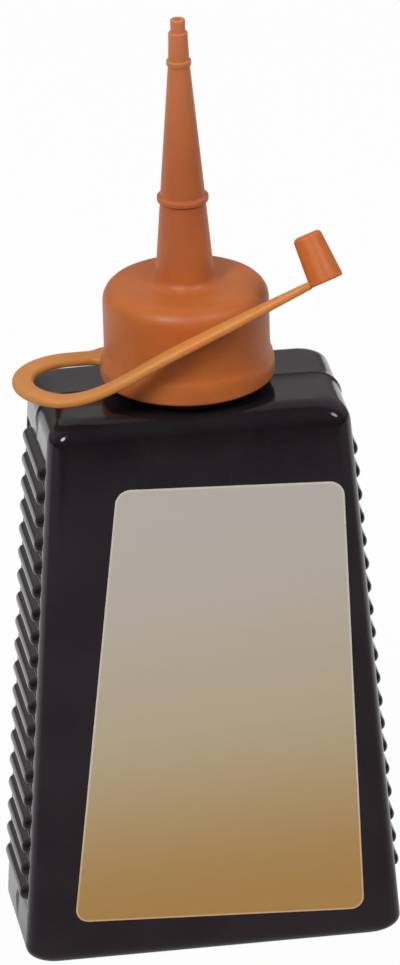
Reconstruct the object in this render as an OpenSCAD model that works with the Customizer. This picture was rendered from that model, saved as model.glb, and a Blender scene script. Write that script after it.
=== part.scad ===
// Flat squeeze bottle of dry graphite lubricant with a screw-on spout cap.
// The cap carries a captive closure on a moulded strap. Millimetres, +Z up the nozzle,
// origin at the centre of the base, front (label side) towards -Y.

/* [Bottle] */
// Width of the bottle where its straight sides meet the base
base_w = 65.2; // [58:0.2:80]
// Width lost from the base to the shoulder
taper_w = 14.2; // [8:0.2:20]
// Depth of the bottle, front to back
bottle_d = 28.4; // [26:0.2:40]
// Height of the shoulder
shoulder_z = 100.4; // [80:0.2:140]
// Wall of the bottle
wall = 1; // [0.7:0.1:1.6]
// Radius of the upright corners
corner_r = 3; // [2:0.1:4]
// Radius of the edge round the shoulder
shoulder_r = 4; // [3:0.1:6]
// Height and depth of the round edge at the foot
foot_r = 3.4; // [2:0.1:5]
// Width of the round edge at the foot, seen from the front
foot_w = 5; // [3:0.1:7]
// Height that the shoulder falls from the neck to its ends
crown = 0.3; // [0.1:0.1:2]
// Width of the raised parting line
seam_w = 1.4; // [0.8:0.1:2]
// Height of the raised parting line
seam_h = 0.35; // [0.1:0.05:0.5]

/* [Grip ribs] */
// Number of ribs on each side
rib_count = 19; // [9:1:23]
// Distance between ribs
rib_pitch = 4.3; // [3.6:0.05:4.6]
// Height of the lowest rib
rib_low_z = 12.2; // [11:0.2:16]
// Length of each rib
rib_len = 19.6; // [14:0.2:20]
// Radius of each rib
rib_r = 1.4; // [1:0.05:1.6]
// Height of the rib crests above the wall
rib_proud = 1.1; // [0.3:0.05:1.2]
// Depth of the side panel that the ribs stand in
panel_deep = 0.4; // [0.3:0.05:1]
// Rim of the side panel beyond the ribs
panel_rim = 0.8; // [0.5:0.1:1.2]

/* [Label] */
// Height of the label
label_h = 80; // [50:1:82]
// Width of the label along its lower edge
label_w = 50; // [36:1:52]
// Height of the middle of the label
label_z = 47.2; // [42:0.2:50]
// Sideways place of the middle of the label
label_x = 2.7; // [-2:0.1:3]
// Lean of the label, which is stuck on a little askew
label_lean = 2.75; // [0:0.25:3]
// Corner radius of the label
label_r = 2.4; // [1:0.1:4]
// Thickness of the label
label_t = 0.2; // [0.1:0.05:0.4]

/* [Contents] */
// Height of the graphite powder in the bottle
fill_z = 72; // [30:1:76]

/* [Neck] */
// Outer radius of the neck
neck_r = 11; // [10:0.1:11.6]
// Wall of the neck
neck_wall = 1.2; // [1:0.1:2]
// Length of neck that shows between shoulder and cap
neck_show = 1.9; // [1.4:0.1:4]
// Depth of the screw thread
thread_deep = 1; // [0.6:0.05:1.2]
// Rise of the screw thread in one turn
thread_lead = 3.175; // [3:0.025:4]
// Turns of thread on the neck and in the cap
thread_turns = 1.25; // [1:0.05:1.5]

/* [Spout cap] */
// Height of the cap from the flange to its flat top
cap_h = 16.7; // [15:0.1:20]
// Wall of the skirt
skirt_wall = 1.7; // [1.3:0.1:2.4]
// Thickness of the top of the cap
cap_top = 1.8; // [1.2:0.1:2.6]
// Width of the flange beyond the skirt
flange_lip = 0.7; // [0.5:0.1:2]
// Height of the flange
flange_h = 4; // [3:0.1:5]
// Radius of the round top edge of the skirt
cap_edge_r = 3; // [1:0.1:3.4]
// Thickness of the sealing ring in the cap
ring_t = 1.1; // [0.8:0.1:1.6]

/* [Nozzle] */
// Length of the nozzle above the cap
nozzle_len = 47.2; // [36:0.2:60]
// Radius of the nozzle at its foot
nozzle_r = 5.05; // [4.4:0.05:6]
// Radius of the nozzle at the shoulder of its tip
nozzle_end_r = 1.66; // [1.5:0.02:2]
// Radius of the straight tip
tip_r = 1.25; // [1.1:0.05:1.4]
// Length of the straight tip
tip_len = 2.3; // [1.6:0.1:3]
// Radius of the powder outlet
outlet_r = 0.55; // [0.4:0.05:0.8]
// Height of the wide ring above the foot of the nozzle
ring_z = 14.6; // [12:0.1:20]
// Height of the fine ring above the foot of the nozzle
bead_z = 39; // [32:0.1:41]

/* [Strap and tip closure] */
// Width of the strap at the cap
strap_w = 3.6; // [2.8:0.1:4]
// Thickness of the strap at the cap
strap_t = 1.6; // [1.2:0.1:2]
// Width of the strap at the closure
strap_end_w = 2.4; // [1.8:0.1:3]
// Thickness of the strap at the closure
strap_end_t = 1; // [0.8:0.05:1.4]
// Radius of the loop beside the cap, to the middle of the strap
loop_r = 8.9; // [7:0.1:10]
// Gap between the skirt and the strap in front of it
strap_gap = 1; // [0.8:0.1:3]
// Sideways reach of the strap from the nozzle to the closure
closure_x = 21.4; // [19:0.1:24]
// Height of the closure's rim above the strap's loop
closure_rise = 19.9; // [18:0.1:23]
// Sideways lean of the closure, towards the nozzle
closure_lean = 20.5; // [16:0.5:26]
// Lean of the closure towards the back
closure_back = 24; // [10:1:30]
// Length of the closure
closure_len = 8.6; // [7:0.1:12]
// Outer radius of the closure's rim
closure_r = 3; // [2.7:0.05:3.4]
// Outer radius of the closure's closed end
closure_end_r = 2.45; // [2.1:0.05:2.6]

/* [Hidden] */
$fn = 64;

// Running gaps and the overrun of every cut
thread_clear = 0.3;
seat_gap = 0.1;
fill_gap = 0.2;
hinge_gap = 0.4;
over = 0.5;

// Steps in a quarter turn: the bottle's corners, its rounded edges and the cap's arcs
corner_steps = 5;
edge_steps = 5;
arc_steps = 6;

// Bottle
half_d = bottle_d / 2;
side_lean = atan(taper_w / 2 / shoulder_z);
function half_w(z) = base_w / 2 - z * tan(side_lean);

// Neck, thread and cap heights
cap_z = shoulder_z + neck_show;
cap_top_z = cap_z + cap_h;
cap_plane_z = cap_top_z - cap_top;
rim_z = cap_plane_z - ring_t - 2 * seat_gap;
neck_bore_r = neck_r - neck_wall;
thread_r = neck_r + thread_deep;
cap_bore_r = thread_r + thread_clear;
skirt_r = cap_bore_r + skirt_wall;
flange_r = skirt_r + flange_lip;
flange_edge_r = 0.6;

// Thread: shares of its lead, and of its depth where it fades out over the last degrees
thread_root_share = 0.52;
thread_crest_share = 0.24;
thread_stop_share = 0.728;
thread_faint_share = 0.1;
thread_root_w = thread_lead * thread_root_share;
thread_crest_w = thread_lead * thread_crest_share;
thread_end_z = rim_z - thread_lead * thread_stop_share;
thread_start_z = thread_end_z - thread_lead * thread_turns;
thread_step = 15;
thread_fade = 45;
thread_sink = 0.4;

// Nozzle
tip_z = cap_top_z + nozzle_len;
nozzle_fillet_r = 1.6;
ring_proud = 0.5;
ring_h = 1;
bead_proud = 0.25;
bead_h = 0.9;
bore_wall = 1.45;
tip_wall = 1;

// Strap, from the flange round the loop to the closure. Angles count round the loop, from its
// rear to its front.
strap_lift = 0.9;
loop_gap = 3;
root_len = 0.9;
root_flare = 1;
loop_front_share = 0.63;
strap_z = cap_z + strap_lift + strap_t / 2;
loop_x = -flange_r - strap_w / 2 - loop_gap;
loop_y = -loop_r * (1 - loop_front_share);
root_x = -flange_r - root_len;
root_y = loop_y + loop_r;
arm_y = -(skirt_r + strap_gap + strap_w / 2);
arm_bend = 3.5;
arm_lean = closure_lean + arm_bend;
arm_straight_share = 0.6;
arm_taper_share = 0.6;
mid_angle = 90;
mid_clear_angle = 6;
leave_angle = 155;
leave_slope = 0.1;
band_points = 12;
loop_steps = 10;
arm_steps = 14;

// Hinge lines of the strap: turn of the first about Z, tilt of the second off the strap,
// and turn of the third about the closure's own axis
root_hinge_turn = 13.3;
mid_hinge_turn = -4.7;
mid_hinge_tilt = -23.5;
closure_hinge_turn = 31.2;

// Closure
closure_wall = 0.8;
closure_roof = 1.2;
closure_edge_r = 0.8;
closure_neck = 0.6;
closure_z = strap_z + closure_rise;

// Vectors
function unit(v) = v / norm(v);
function flat_left(v) = unit([-v.y, v.x, 0]);
function about(v, k, a) = v * cos(a) + cross(k, v) * sin(a) + k * (k * v) * (1 - cos(a));
function mix(a, b, s) = a + (b - a) * s;

// Rounded rectangle, half sizes hx and hy, with a raised point in the middle of each end
function corner(hx, hy, r, a0) = [for (i = [0 : corner_steps])
    let (a = a0 + 90 * i / corner_steps, cx = abs(a0 - 135) > 90 ? 1 : -1, cy = a0 < 180 ? 1 : -1)
    [cx * (hx - r) + r * cos(a), cy * (hy - r) + r * sin(a)]];
function seam(hx, side, rise) = [[side * hx, side * -seam_w / 2], [side * (hx + rise), 0],
    [side * hx, side * seam_w / 2]];
function outline(hx, hy, r, rise) = concat(seam(hx, 1, rise), corner(hx, hy, r, 0),
    corner(hx, hy, r, 90), seam(hx, -1, rise), corner(hx, hy, r, 180), corner(hx, hy, r, 270));

// One level of the body: drop and inset are shares of the rounded edge at that level
function level(z, hx, hy, r, rise, lift, fall) = [for (p = outline(hx, hy, r, rise))
    [p.x, p.y, z - fall * pow(p.x / half_w(shoulder_z), 2) + (p.y == 0 ? lift : 0)]];
function foot_levels(gap, side_gap) = [for (i = [0 : edge_steps])
    let (a = 90 * i / edge_steps, z = gap + (foot_r - gap / 2) * (1 - cos(a)))
    level(z, half_w(z) - side_gap - (foot_w - gap) * (1 - sin(a)),
          half_d - gap - (foot_r - gap / 2) * (1 - sin(a)), corner_r - gap / 2, 0, 0, 0)];
function shoulder_levels(gap, side_gap, bead) = [for (i = [0 : edge_steps])
    let (a = 90 * i / edge_steps, r = shoulder_r - gap, z = shoulder_z - shoulder_r + r * sin(a))
    level(z, half_w(z) - side_gap - r * (1 - cos(a)), half_d - gap - r * (1 - cos(a)),
          corner_r - gap / 2, bead * cos(a), bead * sin(a), crown * sin(a))];

// Closed skin over a stack of levels, with a middle point at each end
module skin(levels, low, high) {
    n = len(levels[0]);
    last = len(levels) - 1;
    points = concat([for (l = levels) each l], [low, high]);
    ends = [len(points) - 2, len(points) - 1];
    polyhedron(points, concat(
        [for (i = [0 : n - 1]) [ends[0], i, (i + 1) % n]],
        [for (k = [0 : last - 1], i = [0 : n - 1]) let (j = (i + 1) % n)
            each [[k * n + i, (k + 1) * n + i, (k + 1) * n + j], [k * n + i, (k + 1) * n + j, k * n + j]]],
        [for (i = [0 : n - 1]) [ends[1], last * n + (i + 1) % n, last * n + i]]));
}

module body_skin() {
    skin(concat(foot_levels(0, 0), shoulder_levels(0, 0, seam_h)), [0, 0, 0], [0, 0, shoulder_z]);
}

module body_hollow() {
    skin(concat(foot_levels(wall, wall + panel_deep), shoulder_levels(wall, wall + panel_deep, 0)),
         [0, 0, wall], [0, 0, shoulder_z - wall]);
}

// Flat rectangle with round corners, made of true squares and circles
module round_plate(w, h, r) {
    square([w - 2 * r, h], center = true);
    square([w, h - 2 * r], center = true);
    for (x = [-1, 1], y = [-1, 1])
        translate([x * (w / 2 - r), y * (h / 2 - r)]) circle(r);
}

// Places its children on the right wall at height z, with X outwards and Z up the wall
module on_wall(z) {
    translate([half_w(z), 0, z]) rotate([0, -side_lean, 0]) children();
}

module side_panel() {
    low = rib_low_z - rib_r - panel_rim;
    high = rib_low_z + rib_pitch * (rib_count - 1) + rib_r + panel_rim;
    on_wall((low + high) / 2)
        translate([-panel_deep, 0, 0]) rotate([0, 90, 0])
            linear_extrude(panel_deep + over + seam_h)
                round_plate((high - low) / cos(side_lean), rib_len + 2 * panel_rim, rib_r);
}

module ribs() {
    for (i = [0 : rib_count - 1])
        on_wall(rib_low_z + rib_pitch * i)
            translate([rib_proud - rib_r, 0, 0]) rotate([90, 0, 0])
                rotate_extrude() rib_profile();
}

// Half outline of a bar with round ends
module rib_profile() {
    straight = rib_len - 2 * rib_r;
    translate([0, -straight / 2]) square([rib_r, straight]);
    for (s = [-1, 1])
        intersection() {
            translate([0, s * straight / 2]) circle(rib_r);
            translate([0, -rib_len]) square([rib_r + over, 2 * rib_len]);
        }
}

// Screw thread swept along its helix. root_r is the wall that it grows from, and side is
// 1 for a thread on a shaft and -1 for one in a bore.
function thread_point(root_r, side, deep, z0, a, k) =
    let (r = root_r + side * (k == 0 || k == 3 ? -thread_sink : deep),
         w = k == 0 || k == 3 ? thread_root_w : thread_crest_w,
         z = z0 + thread_lead * a / 360 + (k < 2 ? -w / 2 : w / 2))
    [r * cos(a), r * sin(a), z];

module thread(root_r, side, z0) {
    total = 360 * thread_turns;
    steps = ceil(total / thread_step);
    levels = [for (i = [0 : steps]) let (a = total * i / steps,
        deep = thread_deep * max(thread_faint_share, min(1, a / thread_fade, (total - a) / thread_fade)))
        [for (k = [0 : 3]) thread_point(root_r, side, deep, z0, a, side > 0 ? k : 3 - k)]];
    faces = concat([[3, 2, 1, 0]],
        [for (i = [0 : steps - 1], k = [0 : 3]) let (m = (k + 1) % 4)
            each [[4 * i + k, 4 * i + m, 4 * i + 4 + m], [4 * i + k, 4 * i + 4 + m, 4 * i + 4 + k]]],
        [[4 * steps, 4 * steps + 1, 4 * steps + 2, 4 * steps + 3]]);
    polyhedron([for (l = levels) each l], faces);
}

module bottle() {
    color([0.13, 0.11, 0.13])
    difference() {
        union() {
            difference() {
                body_skin();
                side_panel();
                mirror([1, 0, 0]) side_panel();
            }
            ribs();
            mirror([1, 0, 0]) ribs();
            translate([0, 0, shoulder_z - shoulder_r / 2])
                cylinder(h = rim_z - shoulder_z + shoulder_r / 2, r = neck_r);
            thread(neck_r, 1, thread_start_z);
        }
        body_hollow();
        translate([0, 0, shoulder_z - shoulder_r])
            cylinder(h = rim_z - shoulder_z + shoulder_r + over, r = neck_bore_r);
    }
}

// Label, a trapezium with round corners that leans a little
module label() {
    top_w = label_w - 2 * label_h * tan(side_lean);
    color([0.68, 0.6, 0.48])
    translate([label_x, -half_d, label_z]) rotate([90, label_lean, 0])
        linear_extrude(label_t) {
            for (s = [-1, 1], e = [-1, 1])
                translate([s * label_corner_x(top_w, e), e * (label_h / 2 - label_r)]) circle(label_r);
            polygon(label_points(top_w));
        }
}

// Corner centres of the label, upper for e = 1
function label_corner_x(top_w, e) =
    let (up_share = (label_h / 2 + e * (label_h / 2 - label_r)) / label_h)
    mix(label_w, top_w, up_share) / 2 - label_r / cos(side_lean);
function label_points(top_w) = concat(
    [for (c = [[1, -1], [1, 1]], k = [0, 1]) label_tangent(top_w, c, k)],
    [for (c = [[-1, 1], [-1, -1]], k = [0, 1]) label_tangent(top_w, c, k)]);
function label_tangent(top_w, c, k) =
    let (along = c.x * c.y > 0 ? k == 0 : k == 1)
    [c.x * label_corner_x(top_w, c.y), c.y * (label_h / 2 - label_r)]
    + label_r * (along ? [c.x * cos(side_lean), sin(side_lean)] : [0, c.y]);

module graphite_fill() {
    gap = wall + fill_gap;
    side_gap = gap + panel_deep;
    top = level(fill_z, half_w(fill_z) - side_gap, half_d - gap, corner_r - gap / 2, 0, 0, 0);
    color([0.2, 0.2, 0.21])
    skin(concat(foot_levels(gap, side_gap), [top]), [0, 0, gap], [0, 0, fill_z]);
}

module sealing_ring() {
    color([0.93, 0.92, 0.88])
    translate([0, 0, rim_z + seat_gap])
        difference() {
            cylinder(h = ring_t, r = cap_bore_r - thread_deep);
            translate([0, 0, -over]) cylinder(h = ring_t + 2 * over, r = neck_bore_r);
        }
}

// Radius of the nozzle's plain cone at a height over the cap
function cone_r(z) = mix(nozzle_r, nozzle_end_r, z / (nozzle_len - tip_len));
function quarter(x, z, r, a0, a1) = [for (i = [0 : arc_steps]) let (a = mix(a0, a1, i / arc_steps))
    [x + r * cos(a), z + r * sin(a)]];

module cap_turned() {
    cone_len = nozzle_len - tip_len;
    outside = concat(
        quarter(flange_r - flange_edge_r, cap_z + flange_edge_r, flange_edge_r, -90, 0),
        quarter(flange_r - flange_edge_r, cap_z + flange_h - flange_edge_r, flange_edge_r, 0, 90),
        quarter(skirt_r - cap_edge_r, cap_top_z - cap_edge_r, cap_edge_r, 0, 90),
        quarter(nozzle_r + nozzle_fillet_r, cap_top_z + nozzle_fillet_r, nozzle_fillet_r, 270, 180),
        [[cone_r(ring_z), cap_top_z + ring_z],
         [cone_r(ring_z) + ring_proud, cap_top_z + ring_z + ring_proud / 2],
         [cone_r(ring_z) + ring_proud, cap_top_z + ring_z + ring_h],
         [cone_r(ring_z + ring_h), cap_top_z + ring_z + ring_h + ring_proud / 2],
         [cone_r(bead_z), cap_top_z + bead_z],
         [cone_r(bead_z) + bead_proud, cap_top_z + bead_z + bead_proud],
         [cone_r(bead_z) + bead_proud, cap_top_z + bead_z + bead_h - bead_proud],
         [cone_r(bead_z + bead_h), cap_top_z + bead_z + bead_h],
         [nozzle_end_r, cap_top_z + cone_len],
         [tip_r, cap_top_z + cone_len],
         [tip_r, tip_z]]);
    inside = [[outlet_r, tip_z],
        [outlet_r, tip_z - tip_len - tip_wall],
        [nozzle_r - bore_wall, cap_plane_z],
        [cap_bore_r, cap_plane_z],
        [cap_bore_r, cap_z]];
    rotate_extrude() polygon(concat(outside, inside));
}

// Short root of the strap on the flange, cut square to the first hinge line
module strap_root() {
    end = root_x + hinge_gap / 2;
    slant = tan(root_hinge_turn);
    inner = -sqrt(pow(skirt_r, 2) - pow(root_y, 2));
    translate([0, 0, strap_z - strap_t / 2])
        linear_extrude(strap_t)
            polygon([[end - slant * strap_w / 2, root_y + strap_w / 2],
                     [end + slant * strap_w / 2, root_y - strap_w / 2],
                     [inner, root_y - strap_w / 2 - root_flare],
                     [inner, root_y + strap_w / 2 + root_flare]]);
}

module spout_cap() {
    color([0.78, 0.4, 0.2]) {
        cap_turned();
        thread(cap_bore_r, -1, thread_start_z - thread_lead / 2);
        strap_root();
    }
}

// Strap stations: [place, direction, width, thickness, facing of the end face]
function loop_place(a) = [loop_x - loop_r * sin(a), loop_y + loop_r * cos(a), strap_z];
function loop_dir(a) = [-cos(a), -sin(a), 0];
root_axis = [-sin(root_hinge_turn), cos(root_hinge_turn), 0];
mid_axis = about(about([0, -1, 0], [-1, 0, 0], mid_hinge_tilt), [0, 0, 1], mid_hinge_turn);
closure_side = [cos(closure_lean), 0, sin(closure_lean)];
closure_axis = about([-sin(closure_lean), 0, cos(closure_lean)], closure_side, -closure_back);
closure_rim = [closure_x, arm_y, closure_z];
hinge_reach = closure_r + closure_neck;
tip_hinge = closure_rim - closure_side * hinge_reach;
tip_axis = about(cross(closure_axis, closure_side), closure_axis, -closure_hinge_turn);

// Ring of points round the strap's section, cut by the plane that faces along cut
function band(s) =
    let (side = flat_left(s[1]), up = cross(s[1], side), w = (s[2] - s[3]) / 2, r = s[3] / 2)
    [for (i = [0 : band_points - 1])
        let (a = 360 * (i + 0.5) / band_points, u = (cos(a) > 0 ? w : -w) + r * cos(a),
             p = side * u + up * (r * sin(a)))
        s[0] + p - s[1] * ((p * s[4]) / (s[1] * s[4]))];

module strap(stations) {
    levels = [for (s = stations) band(s)];
    last = len(levels) - 1;
    n = band_points;
    polyhedron([for (l = levels) each l], concat(
        [[for (i = [0 : n - 1]) i]],
        [for (k = [0 : last - 1], i = [0 : n - 1]) let (j = (i + 1) % n)
            each [[k * n + i, (k + 1) * n + i, (k + 1) * n + j], [k * n + i, (k + 1) * n + j, k * n + j]]],
        [[for (i = [0 : n - 1]) last * n + n - 1 - i]]));
}

// From the first hinge along the straight root and a quarter of the loop
module strap_loop() {
    start = [root_x - hinge_gap / 2, root_y, strap_z];
    mid_dir = loop_dir(mid_angle);
    end = loop_place(mid_angle) - mid_dir * (hinge_gap / 2);
    color([0.78, 0.4, 0.2])
    strap(concat(
        [[start, [-1, 0, 0], strap_w, strap_t, cross(root_axis, [0, 0, 1])]],
        [for (i = [0 : loop_steps - 1]) let (a = mix(0, mid_angle - mid_clear_angle, i / (loop_steps - 1)))
            [loop_place(a), loop_dir(a), strap_w, strap_t, loop_dir(a)]],
        [[end, mid_dir, strap_w, strap_t, mid_axis]]));
}

// The rest of the loop, the rise in front of the cap and the straight run to the closure
arm_dir = [cos(arm_lean), 0, sin(arm_lean)];
arm_end = tip_hinge - closure_side * (hinge_gap / 2) + closure_axis * (strap_end_t / 2);
arm_knee = arm_end - arm_dir * (arm_straight_share * (closure_x - loop_x));
leave_place = loop_place(leave_angle);
leave_dir = unit(loop_dir(leave_angle) + [0, 0, leave_slope]);
knee_pull = norm(arm_knee - leave_place) / 3;
rise_start = leave_place + leave_dir * knee_pull;
rise_end = arm_knee - arm_dir * knee_pull;
function rise_place(s) = pow(1 - s, 3) * leave_place + 3 * s * pow(1 - s, 2) * rise_start
    + 3 * s * s * (1 - s) * rise_end + pow(s, 3) * arm_knee;
function rise_dir(s) = unit(pow(1 - s, 2) * (rise_start - leave_place)
    + 2 * s * (1 - s) * (rise_end - rise_start) + s * s * (arm_knee - rise_end));

module strap_arm() {
    start = loop_place(mid_angle) + loop_dir(mid_angle) * (hinge_gap / 2);
    turns = [for (i = [0 : loop_steps - 1])
        let (a = mix(mid_angle + mid_clear_angle, leave_angle, i / loop_steps))
        [loop_place(a), loop_dir(a)]];
    rise = [for (i = [0 : arm_steps]) [rise_place(i / arm_steps), rise_dir(i / arm_steps)]];
    run = concat(turns, rise);
    count = len(run);
    color([0.78, 0.4, 0.2])
    strap(concat(
        [[start, loop_dir(mid_angle), strap_w, strap_t, mid_axis]],
        [for (i = [0 : count - 1]) let (s = arm_taper_share * (i + 1) / (count + 1))
            [run[i][0], run[i][1], mix(strap_w, strap_end_w, s), mix(strap_t, strap_end_t, s), run[i][1]]],
        [[arm_end, closure_side, strap_end_w, strap_end_t, cross(tip_axis, closure_axis)]]));
}

// Blind cap that stands over the nozzle tip, with a short neck to the strap
module tip_closure() {
    inner_r = closure_r - closure_wall;
    inner_end_r = closure_end_r - closure_wall;
    inner_len = closure_len - closure_roof;
    color([0.8, 0.42, 0.21])
    translate(closure_rim) rotate([-closure_back, -closure_lean, 0]) {
        rotate_extrude()
            polygon(concat([[inner_r, 0], [closure_r, 0]],
                quarter(closure_end_r - closure_edge_r, closure_len - closure_edge_r, closure_edge_r, 0, 90),
                [[0, closure_len], [0, inner_len], [inner_end_r, inner_len]]));
        closure_lug(inner_r);
    }
}

// Lug from the closure's wall to the last hinge, cut along that hinge line
module closure_lug(inner_r) {
    slant = tan(closure_hinge_turn);
    half = strap_end_w / 2;
    end = -hinge_reach + hinge_gap / 2;
    linear_extrude(strap_end_t)
        polygon([[end - slant * half, -half], [end + slant * half, half],
                 [-inner_r - closure_wall / 2, half], [-inner_r - closure_wall / 2, -half]]);
}

bottle();
label();
graphite_fill();
sealing_ring();
spout_cap();
strap_loop();
strap_arm();
tip_closure();
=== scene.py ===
# A flat squeeze bottle of dry graphite powder, with a spout cap and a captive tip closure.
# The sections follow the bottle as it is filled, labelled and capped.
import bpy
import bmesh
import math
from mathutils import Matrix, Quaternion, Vector


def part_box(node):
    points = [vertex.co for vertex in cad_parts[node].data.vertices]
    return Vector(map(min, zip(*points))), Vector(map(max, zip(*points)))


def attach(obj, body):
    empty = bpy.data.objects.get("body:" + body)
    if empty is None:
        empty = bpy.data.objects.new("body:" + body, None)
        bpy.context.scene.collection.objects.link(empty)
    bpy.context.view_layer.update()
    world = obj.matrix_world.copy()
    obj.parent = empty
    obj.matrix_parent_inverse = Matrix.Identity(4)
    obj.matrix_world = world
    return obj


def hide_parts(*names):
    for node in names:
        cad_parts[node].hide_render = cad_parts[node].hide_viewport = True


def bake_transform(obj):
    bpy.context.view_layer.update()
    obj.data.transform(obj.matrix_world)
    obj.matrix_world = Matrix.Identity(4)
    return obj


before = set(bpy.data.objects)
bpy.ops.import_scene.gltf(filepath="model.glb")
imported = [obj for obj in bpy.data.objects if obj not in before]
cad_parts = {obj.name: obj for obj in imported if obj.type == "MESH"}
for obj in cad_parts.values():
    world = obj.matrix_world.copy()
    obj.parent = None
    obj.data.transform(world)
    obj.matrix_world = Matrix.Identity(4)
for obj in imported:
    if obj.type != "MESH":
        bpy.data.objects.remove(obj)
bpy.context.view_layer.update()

# The powder: about 50 g of fine natural graphite, poured in through the neck and shaken level.
# It is hidden in the closed bottle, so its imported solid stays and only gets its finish: a dark
# grey, matt mass of flakes with a faint glitter.
mm = 0.001
metal_grey = (0.045, 0.045, 0.05, 1)
flake_grey = (0.16, 0.16, 0.17, 1)
flake_size = 0.25 * mm


class Signal:
    """A value in a finish. Sums and products on it add their own Math nodes."""

    def __init__(self, finish, output):
        self.finish = finish
        self.output = output

    def math(self, operation, *values):
        return self.finish.node("ShaderNodeMath", {"operation": operation}, dict(enumerate(values)))

    def __add__(self, other):
        return self.math("ADD", self, other)

    def __radd__(self, other):
        return self.math("ADD", other, self)

    def __sub__(self, other):
        return self.math("SUBTRACT", self, other)

    def __rsub__(self, other):
        return self.math("SUBTRACT", other, self)

    def __mul__(self, other):
        return self.math("MULTIPLY", self, other)

    def __rmul__(self, other):
        return self.math("MULTIPLY", other, self)

    def rise(self, low, high):
        """0 below low and 1 above high, with a soft step between."""
        return self.finish.node("ShaderNodeMapRange", {"interpolation_type": "SMOOTHSTEP"},
                                {"Value": self, "From Min": low, "From Max": high})


class Finish:
    """A material: its shader, and the nodes that vary the shader's colour, gloss and relief."""

    def __init__(self, name, **uniform):
        self.material = bpy.data.materials.new(name)
        self.material.use_nodes = True
        self.tree = self.material.node_tree
        self.shader = self.tree.nodes["Principled BSDF"]
        self.place = self.node("ShaderNodeTexCoord", {}, {}, "Object")
        for label, value in uniform.items():
            self.feed(self.shader.inputs[label.replace("_", " ")], value)

    def feed(self, socket, value):
        if isinstance(value, Signal):
            self.tree.links.new(value.output, socket)
        else:
            socket.default_value = value

    def node(self, kind, settings, values, output=0):
        """Any node: its settings first, then the values or links of its sockets."""
        made = self.tree.nodes.new(kind)
        for name, value in settings.items():
            setattr(made, name, value)
        for name, value in values.items():
            self.feed(made.inputs[name], value)
        return Signal(self, made.outputs[output])

    def axis(self, name):
        return self.node("ShaderNodeSeparateXYZ", {}, {"Vector": self.place}, name)

    def noise(self, size, detail=2, stretch=(1, 1, 1)):
        """Soft noise with features of about this size, longer along the stretched axes."""
        scale = [1 / (size * longer) for longer in stretch]
        place = self.node("ShaderNodeMapping", {}, {"Vector": self.place, "Scale": scale})
        return self.node("ShaderNodeTexNoise", {}, {"Vector": place, "Scale": 1, "Detail": detail})

    def blend(self, share, first, second):
        return self.node("ShaderNodeMix", {"data_type": "RGBA"}, {0: share, 6: first, 7: second}, 2)

    def paint(self, **varying):
        for label, value in varying.items():
            self.feed(self.shader.inputs[label.replace("_", " ")], value)

    def relief(self, height, depth):
        self.paint(Normal=self.node("ShaderNodeBump", {}, {"Height": height, "Distance": depth}))


def powder_finish():
    finish = Finish("graphite_powder", Roughness=0.7, Metallic=0.3)
    flakes = finish.noise(flake_size, 4)
    glint = flakes.rise(0.58, 0.7)
    finish.paint(Base_Color=finish.blend(glint, metal_grey, flake_grey), Roughness=0.8 - 0.4 * glint)
    finish.relief(flakes, 0.1 * mm)
    return finish.material


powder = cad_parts["graphite_fill"]
for slot in powder.material_slots:
    slot.material = powder_finish()

# The bottle: one blow-moulded shell of black polyethylene with a 1 mm wall, flat and tapered,
# with a row of bars in a sunk panel on each narrow side. The mould's parting line runs up the
# middle of those sides and over the shoulder, and the base is pushed up a little.
half_turn = math.pi
quarter_turn = math.pi / 2
half_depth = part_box("bottle")[1][1]
rim_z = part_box("bottle")[1][2]
shoulder_z = 100.4 * mm
base_half_w = 32.6 * mm
shoulder_half_w = 25.5 * mm
corner_r = 3 * mm
shoulder_r = 4 * mm
foot_r = 3.4 * mm
foot_w = 5 * mm
crown = 0.3 * mm
base_margin = 3.5 * mm
base_slope_w = 2 * mm
base_push = 0.9 * mm
parting_half_w = 0.7 * mm
parting_h = 0.35 * mm
corner_steps = 8
edge_steps = 10

rib_count = 19
rib_pitch = 4.3 * mm
rib_low_z = 12.2 * mm
rib_half_len = 9.8 * mm
rib_r = 1.4 * mm
rib_toe = 1.52 * mm
rib_proud = 1.1 * mm
panel_deep = 0.4 * mm
panel_rim = 0.8 * mm
panel_soft = 0.4 * mm
panel_wave = 0.45 * mm
panel_low_z = rib_low_z - rib_r - panel_rim
panel_high_z = rib_low_z + rib_pitch * (rib_count - 1) + rib_r + panel_rim
rib_cut_shares = (0, 0.32, 0.57, 0.75, 0.88, 0.97, 1.08)
rib_turn_share = 0.9
side_cuts = [place * mm for place in (0.35, 0.7, 3, 5.7, 8.4, 8.85, 9.25, 9.5, 9.75, 10, 10.3, 10.55,
                                      10.8, 11.05)]
front_cut_shares = (0.2, 0.4, 0.6, 0.8, 0.93, 0.985)
plain_heights = (5.5 * mm, 7.5 * mm, 93.3 * mm)

black = (0.0105, 0.008, 0.0098, 1)
dusty_black = (0.0165, 0.0135, 0.0155, 1)
scuff_grey = (0.075, 0.07, 0.075, 1)


def wall_half_w(z):
    return base_half_w + (shoulder_half_w - base_half_w) * z / shoulder_z


def soft_step(value, low, high):
    share = min(1, max(0, (value - low) / (high - low)))
    return share * share * (3 - 2 * share)


def shell_levels(heights):
    """Height, half width, half depth and fall of each level, from the foot up to the crown."""
    levels = []
    for step in range(edge_steps + 1):
        angle = quarter_turn * step / edge_steps
        z = foot_r * (1 - math.cos(angle))
        inset = 1 - math.sin(angle)
        levels.append((z, wall_half_w(z) - foot_w * inset, half_depth - foot_r * inset, 0))
    levels += [(z, wall_half_w(z), half_depth, 0) for z in heights]
    for step in range(edge_steps + 1):
        angle = quarter_turn * step / edge_steps
        inset = shoulder_r * (1 - math.cos(angle))
        z = shoulder_z - shoulder_r + shoulder_r * math.sin(angle)
        levels.append((z, wall_half_w(z) - inset, half_depth - inset, crown * math.sin(angle)))
    return levels


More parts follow.
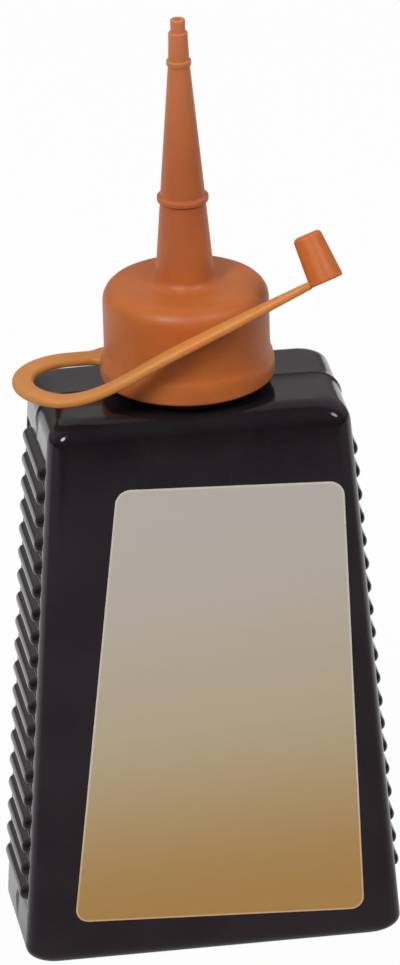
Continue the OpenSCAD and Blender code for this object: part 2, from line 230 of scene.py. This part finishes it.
def cut_across(mesh, faces, half_x, half_y):
    """Lines across the foot or the crown, which the walls take up or meet."""
    side_cut_shares = [cut / (half_depth - corner_r) for cut in side_cuts]
    for half, shares, normal in ((half_x, front_cut_shares, (1, 0, 0)),
                                 (half_y, side_cut_shares, (0, 1, 0))):
        for share in sorted({0, *shares, *(-share for share in shares)}):
            edges = {edge for face in faces for edge in face.edges}
            points = {point for face in faces for point in face.verts}
            place = [half * share * way for way in normal]
            made = bmesh.ops.bisect_plane(mesh, geom=[*points, *edges, *faces], dist=1e-8,
                                          plane_co=place, plane_no=normal)
            faces = [part for part in made["geom"] if isinstance(part, bmesh.types.BMFace)]
    return faces


def to_level(point, old, new):
    """Moves a point of one level's outline to the same place on the next level's outline."""
    for axis, before, after in ((0, old[1], new[1]), (1, old[2], new[2])):
        straight = before - corner_r
        along = min(straight, max(-straight, point.co[axis]))
        point.co[axis] += along * ((after - corner_r) / straight - 1)
    point.co.z = new[0] - new[3] * (point.co.x / shoulder_half_w) ** 2


def shell(heights):
    """Closed skin of the bottle, with a level at each of these heights."""
    mesh = bmesh.new()
    levels = shell_levels(heights)
    z, half_x, half_y, _ = levels[0]
    bmesh.ops.create_grid(mesh, x_segments=1, y_segments=1, size=1)
    bmesh.ops.scale(mesh, vec=(half_x, half_y, 1), verts=mesh.verts)
    bmesh.ops.translate(mesh, vec=(0, 0, z), verts=mesh.verts)
    bmesh.ops.bevel(mesh, geom=mesh.verts[:], offset=corner_r, segments=corner_steps, profile=0.5,
                    affect="VERTICES", material=-1)
    middle = mesh.faces[:]
    for margin, push in ((base_margin, 0), (base_margin + base_slope_w, base_push)):
        bmesh.ops.inset_individual(mesh, faces=middle, thickness=0)
        points = list(middle[0].verts)
        wide = max(point.co.x for point in points)
        deep = max(point.co.y for point in points)
        shrink = ((half_x - margin) / wide, (half_y - margin) / deep, 1)
        bmesh.ops.scale(mesh, vec=shrink, verts=points)
        bmesh.ops.translate(mesh, vec=(0, 0, push), verts=points)
    cut_across(mesh, mesh.faces[:], half_x - corner_r, half_y - corner_r)
    rim = [edge for edge in mesh.edges if edge.is_boundary]
    for old, new in zip(levels, levels[1:]):
        grown = bmesh.ops.extrude_edge_only(mesh, edges=rim)["geom"]
        points = {part for part in grown if isinstance(part, bmesh.types.BMVert)}
        for point in points:
            to_level(point, old, new)
        rim = [part for part in grown
               if isinstance(part, bmesh.types.BMEdge) and points.issuperset(part.verts)]
    z, half_x, half_y, fall = levels[-1]
    crown_face = bmesh.ops.contextual_create(mesh, geom=rim)["faces"]
    for face in cut_across(mesh, crown_face, half_x - corner_r, half_y - corner_r):
        for point in face.verts:
            point.co.z = z - fall * (point.co.x / shoulder_half_w) ** 2
    bmesh.ops.recalc_face_normals(mesh, faces=mesh.faces)
    return mesh


def bar_height(distance):
    """Height of a rib over the floor of its panel, this far from the rib's middle line."""
    floor = rib_r - rib_proud - panel_deep
    turn = rib_r * rib_turn_share
    if distance < turn:
        return math.sqrt(rib_r ** 2 - distance ** 2) - floor
    left = max(0, (rib_toe - distance) / (rib_toe - turn))
    return (math.sqrt(rib_r ** 2 - turn ** 2) - floor) * left * left


def grip_relief(y, z):
    """How far the side stands out from the plain wall at a place on it."""
    rib = min(rib_count - 1, max(0, round((z - rib_low_z) / rib_pitch)))
    from_rib = z - rib_low_z - rib * rib_pitch
    wave = panel_wave * math.cos(2 * half_turn * from_rib / rib_pitch)
    edge_y = rib_half_len + panel_rim - wave
    inside = 1 - soft_step(abs(y), edge_y - panel_soft, edge_y + panel_soft)
    inside *= soft_step(z, panel_low_z - panel_soft, panel_low_z + panel_soft)
    inside *= 1 - soft_step(z, panel_high_z - panel_soft, panel_high_z + panel_soft)
    past_end = max(0, abs(y) - rib_half_len + rib_r)
    return bar_height(math.hypot(from_rib, past_end)) - panel_deep * inside


def parting_relief(y, z):
    """Height of the raised parting line, which fades into the foot."""
    across = max(0, 1 - abs(y) / parting_half_w)
    return parting_h * across * soft_step(z, foot_r, 2 * foot_r)


def shape_sides(mesh):
    """Presses the panels, bars and parting line into the outer skin."""
    for point in mesh.verts:
        x, y, z = point.co
        side = math.copysign(1, x)
        turn_z = shoulder_z - shoulder_r
        out = Vector((side, 0, 0))
        if z > turn_z:
            middle_x = wall_half_w(shoulder_z) - shoulder_r
            out = Vector((side * max(0, abs(x) - middle_x), 0, z - turn_z)).normalized()
        on_end = abs(x) > wall_half_w(z) - 1e-6
        if z < turn_z and not on_end:
            continue
        in_panel = panel_low_z - rib_toe < z < panel_high_z + rib_toe
        point.co += out * (grip_relief(y, z) if in_panel else parting_relief(y, z))


def black_plastic():
    finish = Finish("black_polyethylene", Specular_IOR_Level=0.45, Specular_Tint=(1, 0.8, 0.9, 1))
    peel = finish.noise(1.6 * mm, 3)
    cloudy = finish.noise(14 * mm, 3)
    grain = finish.noise(0.22 * mm, 2)
    streaks = finish.noise(0.35 * mm, 2, (1, 1, 22)).rise(0.66, 0.74)
    rubbed = finish.noise(9 * mm, 2).rise(0.52, 0.68)
    scuffs = streaks * rubbed
    colour = finish.blend(cloudy.rise(0.35, 0.7), black, dusty_black)
    finish.paint(Base_Color=finish.blend(0.2 * scuffs, colour, scuff_grey),
                 Roughness=0.1 + 0.06 * cloudy + 0.12 * scuffs)
    finish.relief(peel * 0.8 + grain * 0.2, 0.012 * mm)
    return finish.material


def piece(name, mesh, slot_name, *materials):
    """Makes a mesh a smooth object at the origin."""
    data = bpy.data.meshes.new(name)
    mesh.to_mesh(data)
    mesh.free()
    data.shade_smooth()
    made = bpy.data.objects.new(name, data)
    bpy.context.scene.collection.objects.link(made)
    for material in materials:
        data.materials.append(material)
    return made


def crisp(made):
    """Keeps flat faces flat beside round edges."""
    made.modifiers.new("face_weighted_shading", "WEIGHTED_NORMAL").keep_sharp = True
    return made


rib_offsets = [side * share * rib_r for share in rib_cut_shares for side in (-1, 1)] + [rib_pitch / 2]
rib_heights = {round(rib_low_z + rib * rib_pitch + offset, 6)
               for rib in range(rib_count) for offset in rib_offsets}
panel_ends = [end + soft for end in (panel_low_z, panel_high_z) for soft in (-panel_soft, 0, panel_soft)]
wall_heights = sorted(rib_heights.union(panel_ends, plain_heights))
outer = shell(wall_heights)
shape_sides(outer)
bottle_plastic = black_plastic()
bottle = crisp(piece("bottle_shell", outer, "bottle", bottle_plastic))
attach(bottle, "bottle")
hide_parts("bottle")

# The neck: moulded in one with the bottle, a short tube with a coarse right-hand screw thread
# and a soft fillet where it leaves the shoulder. The cap hides it down to its foot.
neck_r = 11 * mm
neck_bore_r = 9.8 * mm
neck_foot_z = 97 * mm
neck_fillet = 0.5 * mm
neck_flare_z = shoulder_z - 0.2 * mm
neck_rim_r = 0.25 * mm
thread_deep = 1 * mm
thread_sink = 0.4 * mm
thread_lead = 3.175 * mm
thread_turns = 1.25
thread_root_w = 0.52 * thread_lead
thread_crest_w = 0.24 * thread_lead
thread_stop_share = 1.978
thread_low_z = rim_z - thread_stop_share * thread_lead
round_steps = 5
turned_steps = 96


def turned(corners):
    """Ring or cup spun from a closed outline of corners: radius, height and rounding."""
    mesh = bmesh.new()
    points = [mesh.verts.new((r, 0, z)) for r, z, rounding in corners]
    for pair in zip(points, points[1:] + points[:1]):
        mesh.edges.new(pair)
    for point, (r, z, rounding) in zip(points, corners):
        if rounding:
            bmesh.ops.bevel(mesh, geom=[point], offset=rounding, segments=round_steps, profile=0.5,
                            affect="VERTICES", material=-1)
    bmesh.ops.spin(mesh, geom=mesh.verts[:] + mesh.edges[:], cent=(0, 0, 0), axis=(0, 0, 1),
                   angle=2 * half_turn, steps=turned_steps, use_merge=True)
    bmesh.ops.remove_doubles(mesh, verts=mesh.verts, dist=1e-6)
    bmesh.ops.recalc_face_normals(mesh, faces=mesh.faces)
    return mesh


def add_thread(mesh, root_r, side, z):
    """Winds a thread on a shaft (side 1) or in a bore (side -1), with ends that run out."""
    root = root_r - side * thread_sink
    crest = root_r + side * thread_deep
    section = [mesh.verts.new((r, 0, z + half_w)) for r, half_w in (
        (root, -thread_root_w / 2), (crest, -thread_crest_w / 2), (crest, thread_crest_w / 2),
        (root, thread_root_w / 2))]
    start = mesh.faces.new(section)
    steps = round(turned_steps * thread_turns)
    wound = bmesh.ops.spin(mesh, geom=[start], cent=(0, 0, 0), axis=(0, 0, 1),
                           dvec=(0, 0, thread_lead / turned_steps),
                           angle=2 * half_turn * thread_turns, steps=steps)
    last = [part for part in wound["geom_last"] if isinstance(part, bmesh.types.BMVert)]
    for point in section + last:
        flat = Vector((point.co.x, point.co.y, 0))
        point.co += flat.normalized() * root - flat
    bmesh.ops.recalc_face_normals(mesh, faces=mesh.faces)


neck_mesh = turned([
    (neck_bore_r, neck_foot_z, 0), (neck_r + neck_fillet, neck_foot_z, 0),
    (neck_r + neck_fillet, neck_flare_z, 0), (neck_r, neck_flare_z, 0.98 * neck_fillet),
    (neck_r, rim_z, neck_rim_r), (neck_bore_r, rim_z, neck_rim_r)])
add_thread(neck_mesh, neck_r, 1, thread_low_z)
neck = crisp(piece("bottle_neck", neck_mesh, "bottle", bottle_plastic))
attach(neck, "bottle")

# The label: a thin metallised film with rounded corners, stuck flat on the front a little
# askew. It fades from silver at the top to gold at the foot. Its edges and a narrow border are
# painted pale, warmer near the foot: a painted highlight along the film's edge.
label_low, label_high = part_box("label")
label_x = 2.7 * mm
label_z = 47.2 * mm
label_h = 80 * mm
label_low_w = 50 * mm
label_top_w = 38.64 * mm
label_lean = math.radians(2.75)
label_r = 2.4 * mm
label_t = label_high[1] - label_low[1]
border_w = 0.28 * mm
gold_end_z, champagne_z = 8 * mm, 46 * mm
champagne_end_z, silver_z = 28 * mm, 86 * mm
edge_highlight_pale_z = 40 * mm
silver = (0.88, 0.79, 0.72, 1)
champagne = (0.79, 0.63, 0.38, 1)
gold = (0.66, 0.355, 0.088, 1)
# The next two colours are a painted highlight on the film's edges and border, pale higher up and warmer
# near the foot; the pale one also tints the brushed streaks.
pale_brush_and_edge_highlight = (0.85, 0.8, 0.72, 1)
warm_edge_highlight = (0.85, 0.5, 0.26, 1)


def label_mesh():
    mesh = bmesh.new()
    bmesh.ops.create_grid(mesh, x_segments=1, y_segments=1, size=0.5)
    bmesh.ops.scale(mesh, vec=(label_low_w, label_h, 1), verts=mesh.verts)
    upper = [point for point in mesh.verts if point.co.y > 0]
    bmesh.ops.scale(mesh, vec=(label_top_w / label_low_w, 1, 1), verts=upper)
    bmesh.ops.bevel(mesh, geom=mesh.verts[:], offset=label_r, segments=corner_steps, profile=0.5,
                    affect="VERTICES", material=-1)
    face = mesh.faces[:]
    grown = bmesh.ops.extrude_face_region(mesh, geom=face)["geom"]
    top = [part for part in grown if isinstance(part, bmesh.types.BMFace)]
    bmesh.ops.translate(mesh, vec=(0, 0, label_t), verts=list(top[0].verts))
    for side in mesh.faces:
        side.material_index = 1
    bmesh.ops.inset_individual(mesh, faces=top, thickness=border_w, use_even_offset=True)
    top[0].material_index = 0
    bmesh.ops.recalc_face_normals(mesh, faces=mesh.faces)
    upright = Matrix.Translation((label_x, -half_depth, label_z)) @ Matrix.Rotation(label_lean, 4, "Y")
    bmesh.ops.transform(mesh, matrix=upright @ Matrix.Rotation(quarter_turn, 4, "X"), verts=mesh.verts)
    return mesh


def foil_finish():
    finish = Finish("silver_to_gold_foil", Metallic=0.4)
    height = finish.axis("Z") - math.tan(label_lean) * finish.axis("X")
    upper = finish.blend(height.rise(champagne_end_z, silver_z), champagne, silver)
    colour = finish.blend(height.rise(gold_end_z, champagne_z), gold, upper)
    brushed = finish.noise(0.16 * mm, 2, (60, 1, 1))
    cloudy = finish.noise(16 * mm, 3)
    finish.paint(Base_Color=finish.blend(0.1 * brushed, colour, pale_brush_and_edge_highlight),
                 Roughness=0.36 + 0.1 * cloudy + 0.08 * brushed)
    finish.relief(brushed * 0.3 + cloudy, 0.06 * mm)
    return finish.material


def edge_highlight_finish():
    # Painted highlight along the film's edges and narrow border band.
    finish = Finish("film_edge_painted_highlight", Roughness=0.4)
    worn = finish.noise(1.2 * mm, 3)
    tone = finish.blend(finish.axis("Z").rise(gold_end_z, edge_highlight_pale_z), warm_edge_highlight, pale_brush_and_edge_highlight)
    finish.paint(Base_Color=finish.blend(0.3 * worn, tone, champagne))
    return finish.material


label = piece("label_film", label_mesh(), "label", foil_finish(), edge_highlight_finish())
for side in label.data.polygons:
    side.use_smooth = False
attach(label, "bottle")
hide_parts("label")

# The sealing ring: punched from foamed polyethylene sheet and pressed into the top of the cap,
# where the neck's rim beds into it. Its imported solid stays, with the pores of foam.
foam_white = (0.78, 0.76, 0.7, 1)
foam_shade = (0.55, 0.53, 0.48, 1)


def foam_finish():
    finish = Finish("foamed_polyethylene", Roughness=0.75)
    pores = finish.noise(0.35 * mm, 4)
    finish.paint(Base_Color=finish.blend(pores.rise(0.35, 0.6), foam_shade, foam_white))
    finish.relief(pores, 0.12 * mm)
    return finish.material


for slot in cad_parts["sealing_ring"].material_slots:
    slot.material = foam_finish()

# The spout cap: injection-moulded in orange polyethylene, thin enough to let a little light
# through. A flange runs round the foot of its skirt, and the long cone of the nozzle ends in a
# short straight tip. A wide ring and a fine bead on the cone stop a tube that is pushed on.
cap_low, cap_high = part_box("spout_cap")
cap_z = cap_low[2]
tip_z = cap_high[2]
cap_top_z = cap_z + 16.7 * mm
cap_plane_z = cap_top_z - 1.8 * mm
cap_edge_r = 3 * mm
cap_bore_r = 12.3 * mm
skirt_r = 14 * mm
flange_r = 14.7 * mm
flange_h = 4.6 * mm
flange_low_h = 3 * mm
flange_edge_r = 0.9 * mm
nozzle_r = 5.05 * mm
nozzle_fillet_r = 1.6 * mm
nozzle_wall = 1.45 * mm
nozzle_bead_r = 1.85 * mm
nozzle_end_r = 1.62 * mm
tip_r = 1.25 * mm
tip_len = 2.3 * mm
outlet_r = 0.55 * mm
outlet_len = 3.3 * mm
ring_rise = 14.6 * mm
ring_h = 1 * mm
ring_proud = 0.5 * mm
bead_rise = 39 * mm
bead_h = 0.9 * mm
bead_proud = 0.25 * mm
# Painted shade and light on the nozzle: it darkens towards its foot on the cap's top, a painted shade,
# and lightens towards its tip, painted light.
foot_shade_low, foot_shade_high = cap_top_z - 1.5 * mm, cap_top_z + 6 * mm
tip_light_low = cap_top_z + 15 * mm
orange = (0.58, 0.15, 0.028, 1)
nozzle_foot_shade_orange = (0.54, 0.145, 0.042, 1)
nozzle_tip_lit_orange = (0.72, 0.24, 0.1, 1)
orange_bright = (0.66, 0.2, 0.036, 1)


def cone_r(rise):
    return nozzle_r + (nozzle_bead_r - nozzle_r) * rise / bead_rise


def collar(rise, height, proud, rounding):
    """Corners of a small ring that stands out from the cone."""
    return [(cone_r(rise), cap_top_z + rise, rounding),
            (cone_r(rise) + proud, cap_top_z + rise + proud / 2, rounding),
            (cone_r(rise) + proud, cap_top_z + rise + height, rounding),
            (cone_r(rise + height), cap_top_z + rise + height + proud / 2, rounding)]


def orange_plastic(name, low, middle, high, bright):
    """Orange polyethylene: its own colour on the cap, painted shade at the nozzle's foot and painted
    light at the nozzle's tip.
    """
    finish = Finish(name, Specular_IOR_Level=0.45, Subsurface_Weight=0.4,
                    Subsurface_Radius=(1.0, 0.35, 0.12), Subsurface_Scale=2.5 * mm)
    clouds = finish.noise(5 * mm, 3)
    grain = finish.noise(0.2 * mm, 2)
    flow = finish.noise(1.2 * mm, 2, (1, 1, 9))
    height = finish.axis("Z")
    # Painted shade at the nozzle's foot, then painted light towards its tip.
    foot = finish.blend(height.rise(foot_shade_low, foot_shade_high), low, middle)
    tone = finish.blend(height.rise(tip_light_low, tip_z), foot, high)
    finish.paint(Base_Color=finish.blend(0.4 * clouds.rise(0.4, 0.75), tone, bright),
                 Roughness=0.36 + 0.14 * clouds + 0.06 * flow)
    finish.relief(grain * 0.4 + flow * 0.6, 0.03 * mm)
    return finish.material


cap_mesh = turned([
    (cap_bore_r, cap_z, 0.2 * mm), (flange_r, cap_z, 0.6 * mm),
    (flange_r, cap_z + flange_low_h, flange_edge_r), (skirt_r, cap_z + flange_h, flange_edge_r),
    (skirt_r, cap_top_z, cap_edge_r), (nozzle_r, cap_top_z, nozzle_fillet_r),
    *collar(ring_rise, ring_h, ring_proud, 0.12 * mm), *collar(bead_rise, bead_h, bead_proud, 0.08 * mm),
    (nozzle_end_r, tip_z - tip_len, 0.15 * mm), (tip_r, tip_z - tip_len, 0.1 * mm),
    (tip_r, tip_z, 0.25 * mm), (outlet_r, tip_z, 0.1 * mm), (outlet_r, tip_z - outlet_len, 0),
    (nozzle_r - nozzle_wall, cap_plane_z, 0.3 * mm), (cap_bore_r, cap_plane_z, 0.4 * mm)])
add_thread(cap_mesh, cap_bore_r, -1, thread_low_z - thread_lead / 2)
cap_orange = orange_plastic("orange_polyethylene", orange, nozzle_foot_shade_orange, nozzle_tip_lit_orange, orange_bright)
cap = crisp(piece("cap_with_nozzle", cap_mesh, "cap", cap_orange))
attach(cap, "cap")
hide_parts("spout_cap")

# The strap: a thin band about 83 mm long, moulded in one with the cap and the closure. It leaves
# the flange beside the neck, turns back in a flat loop, rises across the front of the cap and
# ends at the closure's mouth. It is three lengths here, joined end to end.
strap_w = 3.6 * mm
strap_t = 1.6 * mm
strap_end_w = 2.4 * mm
strap_end_t = 1 * mm
strap_tip_t = 1.3 * mm
strap_z = 104 * mm
strap_round = 0.46
# The strap is the cap's plastic; its lighter orange is painted light on the thin band.
strap_lit_orange = (0.92, 0.285, 0.058, 1)
strap_lit_orange_bright = (0.95, 0.365, 0.11, 1)
taper_share = 0.6
root_start_x = -12.6 * mm
root_flare = 1.9
root_flare_len = 3.4 * mm
root_steps = 14
loop_steps = 56
loop_cut_step = 16
rise_steps = 36
rise_cut_step = 30
run_steps = 24
fold_steps = (23.25, 23.5, 23.75)
end_steps = 4
loop_r = 8.9 * mm
loop_middle = Vector((-19.5 * mm, -3.293 * mm, strap_z))
leave_angle = math.radians(155)
leave_slope = 0.1
closure_lean = math.radians(20.5)
closure_back = math.radians(24)
arm_lean = math.radians(24)
closure_rim = Vector((21.4 * mm, -16.8 * mm, 123.9 * mm))
closure_r = 3 * mm
closure_neck = 0.6 * mm
run_len = 24.5 * mm
end_len = 0.9 * mm
closure_turn = Matrix.Rotation(-closure_lean, 4, "Y") @ Matrix.Rotation(-closure_back, 4, "X")
closure_side = closure_turn.col[0].xyz
closure_up = closure_turn.col[2].xyz
arm_dir = Vector((math.cos(arm_lean), 0, math.sin(arm_lean)))
tip_hinge = closure_rim - closure_side * (closure_r + closure_neck)
arm_end = tip_hinge + closure_up * strap_end_t / 2
arm_knee = arm_end - arm_dir * run_len


def loop_station(angle):
    return (loop_middle + Vector((-math.sin(angle), math.cos(angle), 0)) * loop_r,
            Vector((-math.cos(angle), -math.sin(angle), 0)))


def rise_station(share):
    """Place and direction on the curve from the loop's front to the straight run."""
    first, leave = loop_station(leave_angle)
    leave = (leave + Vector((0, 0, leave_slope))).normalized()
    pull = (arm_knee - first).length / 3
    second = first + leave * pull
    third = arm_knee - arm_dir * pull
    left = 1 - share
    place = (first * left ** 3 + second * 3 * left * left * share + third * 3 * left * share * share
             + arm_knee * share ** 3)
    heading = ((second - first) * left * left + (third - second) * 2 * left * share
               + (arm_knee - third) * share * share)
    return place, heading.normalized()


def strap_route():
    """Every station of the strap: place, direction, width, thickness and twist."""
    root_x, root_y = loop_middle.x, loop_middle.y + loop_r
    root = []
    for step in range(root_steps):
        x = root_start_x + (root_x - root_start_x) * step / root_steps
        flare = 1 - soft_step(-x, -root_start_x, root_flare_len - root_start_x)
        root.append((Vector((x, root_y, strap_z)), Vector((-1, 0, 0)),
                     strap_w * (1 + (root_flare - 1) * flare), strap_t, 0))
    loop = [loop_station(leave_angle * step / loop_steps) + (strap_w, strap_t, 0)
            for step in range(loop_steps)]
    knee = rise_steps
    mouth = knee + run_steps
    front = [(step, *rise_station(step / knee)) for step in range(knee)]
    front += [(knee + step, arm_knee.lerp(arm_end, step / run_steps), arm_dir)
              for step in (*range(run_steps), *fold_steps)]
    front += [(mouth + step, arm_end + closure_side * end_len * step / end_steps, closure_side)
              for step in range(end_steps + 1)]
    arm = []
    for step, place, heading in front:
        share = taper_share * min(1, step / mouth)
        share += (1 - taper_share) * max(0, (step - mouth + 1) / (end_steps + 1))
        turned_share = min(1, max(0, (step - knee) / run_steps))
        arm.append((place, heading, strap_w + (strap_end_w - strap_w) * share,
                    strap_t + (strap_tip_t - strap_t) * share, closure_back * turned_share ** 2))
    return root + loop + arm


def swept(stations):
    """Band with round edges that follows the stations, with a flat end at each."""
    def pose(place, heading, width, thickness, twist):
        side = Vector((-heading.y, heading.x, 0)).normalized()
        side.rotate(Quaternion(heading, -twist))
        turn = Matrix((side, heading.cross(side), heading)).transposed().to_4x4()
        size = Matrix.Diagonal((width / strap_w, thickness / strap_t, 1, 1))
        return Matrix.Translation(place) @ turn @ size

    mesh = bmesh.new()
    bmesh.ops.create_grid(mesh, x_segments=1, y_segments=1, size=0.5)
    bmesh.ops.scale(mesh, vec=(strap_w, strap_t, 1), verts=mesh.verts)
    bmesh.ops.bevel(mesh, geom=mesh.verts[:], offset=strap_round * strap_t, segments=round_steps,
                    profile=0.5, affect="VERTICES", material=-1)
    poses = [pose(*station) for station in stations]
    bmesh.ops.transform(mesh, matrix=poses[0], verts=mesh.verts)
    end = mesh.faces[:]
    ends = [end[0]]
    for before, after in zip(poses, poses[1:]):
        grown = bmesh.ops.extrude_face_region(mesh, geom=end)["geom"]
        moved = [part for part in grown if isinstance(part, bmesh.types.BMVert)]
        bmesh.ops.transform(mesh, matrix=after @ before.inverted(), verts=moved)
        end = [part for part in grown if isinstance(part, bmesh.types.BMFace)]
    bmesh.ops.recalc_face_normals(mesh, faces=mesh.faces)
    for face in ends + end:
        for edge in face.edges:
            edge.smooth = False
    return mesh


route = strap_route()
first_cut = root_steps + loop_cut_step
second_cut = root_steps + loop_steps + rise_cut_step
# The strap's finish carries that painted light.
strap_orange = orange_plastic("orange_strap_painted_light", strap_lit_orange, strap_lit_orange, strap_lit_orange,
                              strap_lit_orange_bright)
strap_root = piece("strap_at_flange", swept(route[:first_cut + 1]), "cap", strap_orange)
strap_loop = piece("strap_round_loop", swept(route[first_cut:second_cut + 1]), "cap", strap_orange)
strap_arm = piece("strap_to_closure", swept(route[second_cut:]), "cap", strap_orange)
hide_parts("strap_loop")
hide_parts("strap_loop", "strap_arm")
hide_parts("strap_arm")
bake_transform(strap_root)
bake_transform(strap_loop)
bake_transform(strap_arm)

# The tip closure: a small blind cap at the end of the strap, moulded with it. Its mouth is in
# the strap's own plane, and it is pushed over the nozzle's tip when the bottle isn't in use.
closure_len = 8.6 * mm
closure_end_r = 2.45 * mm
closure_wall = 0.8 * mm
closure_roof = 1.2 * mm
closure_mouth_r = 0.4 * mm
closure_edge_r = 0.8 * mm
# The closure is the cap's plastic; its lighter orange is painted light.
closure_lit_orange = (0.71, 0.18, 0.031, 1)
closure_mesh = turned([
    (closure_r - closure_wall, 0, 0.1 * mm), (closure_r, 0, closure_mouth_r),
    (closure_end_r, closure_len, closure_edge_r),
    (0, closure_len, 0), (0, closure_len - closure_roof, 0),
    (closure_end_r - closure_wall, closure_len - closure_roof, 0.2 * mm)])
bmesh.ops.transform(closure_mesh, matrix=Matrix.Translation(closure_rim) @ closure_turn,
                    verts=closure_mesh.verts)
closure_orange = orange_plastic("closure_lit_orange", closure_lit_orange, closure_lit_orange, closure_lit_orange, orange)
closure = crisp(piece("tip_closure_cap", closure_mesh, "cap", closure_orange))
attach(closure, "closure")
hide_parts("tip_closure")

# The studio: a floor that the camera sees as white paper with a faint shadow. It is bright behind
# the bottle, greyer in front and dark far in front. The surround is bright behind and dim in front
# and low down. Two small soft lamps hang high in front, the left one twice as strong.
photo_h = 965
photo_focus = 10642
camera_side = math.radians(-8.12)
camera_height = math.radians(24)
camera_roll = math.radians(-1.65)
camera_far = 1800 * mm
camera_target = Vector((1.535 * mm, 0, 81.84 * mm))
sensor_h = 36
clip_range = (0.1, 20)
floor_half = 3
floor_back = (0.92, 0.92, 0.92, 1)
floor_front = (0.46, 0.46, 0.46, 1)
floor_dark = (0.04, 0.04, 0.04, 1)
floor_dark_y, floor_front_y = -0.24, -0.2
floor_grey_y, floor_back_y = -0.04, 0.06
floor_white_share = 0.97
floor_shine_share = 1
lamp_size = 0.36
lamp_far = 1.1
lamp_height = math.radians(42)
lamp_side = math.radians(38)
lamp_left_power = 6.3
lamp_right_power = 3.2
surround_front = 0.12
surround_back = 0.5
surround_front_y, surround_back_y = -0.25, 0.15
surround_low_share = 0.4
surround_low_z, surround_high_z = 0.05, 0.38


def make_floor():
    mesh = bmesh.new()
    bmesh.ops.create_grid(mesh, x_segments=1, y_segments=1, size=floor_half)
    data = bpy.data.meshes.new("floor")
    mesh.to_mesh(data)
    mesh.free()
    finish = Finish("pale_floor", Roughness=0.9, Specular_IOR_Level=0.1)
    depth = finish.axis("Y")
    near = finish.blend(depth.rise(floor_dark_y, floor_front_y), floor_dark, floor_front)
    behind = depth.rise(floor_grey_y, floor_back_y)
    finish.paint(Base_Color=finish.blend(behind, near, floor_back))
    paper = finish.noise(2 * mm, 3)
    finish.relief(paper, 0.02 * mm)
    seen = finish.node("ShaderNodeLightPath", {}, {}, "Is Camera Ray")
    mirrored = finish.node("ShaderNodeLightPath", {}, {}, "Is Glossy Ray")
    bright = seen * floor_white_share + mirrored * behind * floor_shine_share
    glow = finish.node("ShaderNodeEmission", {}, {"Color": (1, 1, 1, 1), "Strength": 1})
    lit = Signal(finish, finish.shader.outputs["BSDF"])
    mixed = finish.node("ShaderNodeMixShader", {}, {0: bright, 1: lit, 2: glow})
    finish.feed(finish.tree.nodes["Material Output"].inputs["Surface"], mixed)
    data.materials.append(finish.material)
    made = bpy.data.objects.new("floor", data)
    bpy.context.scene.collection.objects.link(made)
    return made


def make_surround():
    world = bpy.data.worlds.new("studio")
    world.use_nodes = True
    bpy.context.scene.world = world
    nodes = world.node_tree.nodes
    links = world.node_tree.links
    sky = nodes["Background"]
    path = nodes.new("ShaderNodeLightPath")
    place = nodes.new("ShaderNodeTexCoord")
    split = nodes.new("ShaderNodeSeparateXYZ")
    dim = nodes.new("ShaderNodeMapRange")
    dim.interpolation_type = "SMOOTHSTEP"
    low = nodes.new("ShaderNodeMapRange")
    for ramp, places in ((dim, (surround_front_y, surround_back_y, surround_front, surround_back)),
                         (low, (surround_low_z, surround_high_z, surround_low_share, 1))):
        for socket, value in zip(("From Min", "From Max", "To Min", "To Max"), places):
            ramp.inputs[socket].default_value = value
    both = nodes.new("ShaderNodeMath")
    both.operation = "MULTIPLY"
    strength = nodes.new("ShaderNodeMix")
    strength.inputs["B"].default_value = 1
    links.new(place.outputs["Generated"], split.inputs["Vector"])
    links.new(split.outputs["Y"], dim.inputs["Value"])
    links.new(path.outputs["Is Camera Ray"], strength.inputs["Factor"])
    links.new(split.outputs["Z"], low.inputs["Value"])
    links.new(dim.outputs["Result"], both.inputs[0])
    links.new(low.outputs["Result"], both.inputs[1])
    links.new(both.outputs["Value"], strength.inputs["A"])
    sky.inputs["Color"].default_value = (1, 1, 1, 1)
    links.new(strength.outputs["Result"], sky.inputs["Strength"])


def make_lamp(name, side, power):
    light = bpy.data.lights.new(name, "AREA")
    light.shape = "DISK"
    light.size = lamp_size
    light.energy = power
    lamp = bpy.data.objects.new(name, light)
    away = Vector((math.sin(side) * math.cos(lamp_height), -math.cos(side) * math.cos(lamp_height),
                   math.sin(lamp_height)))
    lamp.location = camera_target + away * lamp_far
    lamp.rotation_euler = away.to_track_quat("Z", "Y").to_euler()
    bpy.context.scene.collection.objects.link(lamp)


def make_camera():
    lens = bpy.data.cameras.new("camera")
    lens.sensor_fit = "VERTICAL"
    lens.sensor_height = sensor_h
    lens.lens = sensor_h * photo_focus / photo_h
    lens.clip_start, lens.clip_end = clip_range
    away = Vector((math.sin(camera_side) * math.cos(camera_height),
                   -math.cos(camera_side) * math.cos(camera_height), math.sin(camera_height)))
    right = Vector((math.cos(camera_side), math.sin(camera_side), 0))
    turn = Matrix((right, away.cross(right), away)).transposed().to_4x4()
    camera = bpy.data.objects.new("camera", lens)
    camera.matrix_world = (Matrix.Translation(camera_target + away * camera_far) @ turn
                           @ Matrix.Rotation(camera_roll, 4, "Z"))
    bpy.context.scene.collection.objects.link(camera)
    bpy.context.scene.camera = camera


make_floor()
make_surround()
make_lamp("lamp_left", -lamp_side, lamp_left_power)
make_lamp("lamp_right", lamp_side, lamp_right_power)
make_camera()
bpy.context.scene.view_settings.view_transform = "Standard"
